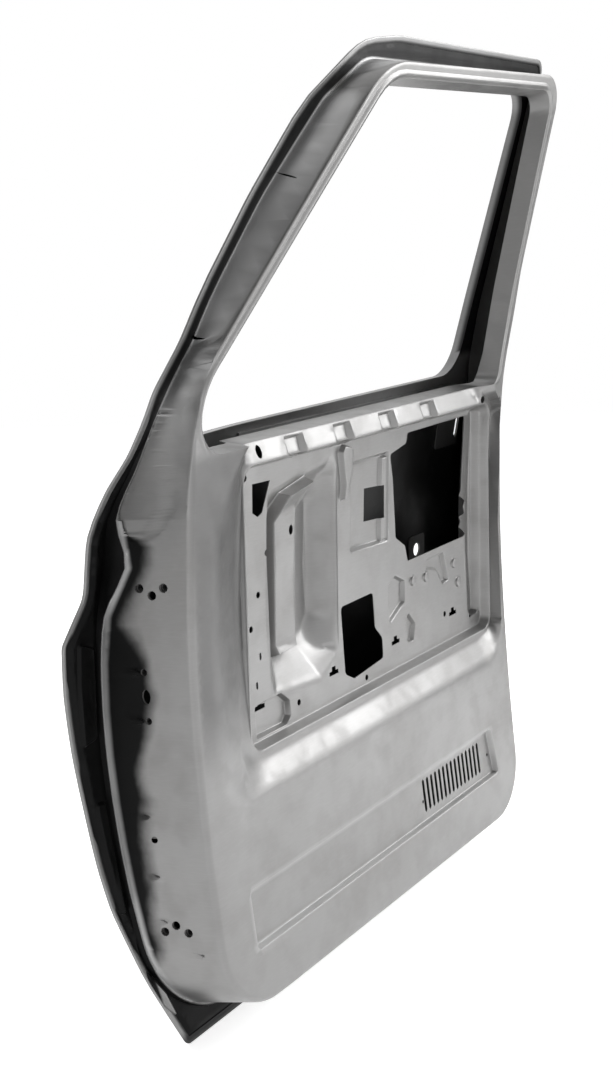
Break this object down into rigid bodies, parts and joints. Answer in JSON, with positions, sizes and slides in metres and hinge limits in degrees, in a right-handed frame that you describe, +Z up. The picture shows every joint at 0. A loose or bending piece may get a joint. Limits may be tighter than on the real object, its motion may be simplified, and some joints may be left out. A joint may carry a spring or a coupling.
{
  "type": "car door shell",
  "caption": "Bare pressed-steel shell of a right-hand front van door: deep-drawn inner panel, hemmed outer skin, window frame, hinge and latch faces.",
  "frame": {"origin": "on the hinge-side shut face, at the middle of the upper hinge's seat", "axes": "+X rearward along the vehicle, +Y outward from the cabin, +Z up"},
  "size_m": [1.0573, 0.2662, 1.2387],
  "materials": {
    "panel_steel": "satin",
    "skin_steel": "satin",
    "brace_steel": "matte"
  },
  "bodies": {
    "root": {"inner_panel": "panel_steel", "outer_skin": "skin_steel", "upper_hinge_reinforcement": "brace_steel", "lower_hinge_reinforcement": "brace_steel", "upper_hinge_nut_inner": "brace_steel", "upper_hinge_nut_outer": "brace_steel", "lower_hinge_nut_inner": "brace_steel", "lower_hinge_nut_outer": "brace_steel", "check_strap_reinforcement": "brace_steel", "check_strap_nut_lower": "brace_steel", "check_strap_nut_upper": "brace_steel", "latch_reinforcement": "brace_steel", "latch_nut_inner": "brace_steel", "latch_nut_outer": "brace_steel", "latch_nut_lower": "brace_steel", "handle_reinforcement": "brace_steel", "lock_reinforcement": "brace_steel", "mirror_reinforcement": "brace_steel", "outer_belt_reinforcement": "brace_steel", "inner_belt_reinforcement": "brace_steel", "front_beam_bracket": "brace_steel", "rear_beam_bracket": "brace_steel", "side_impact_beam": "brace_steel"}
  },
  "joints": []
}
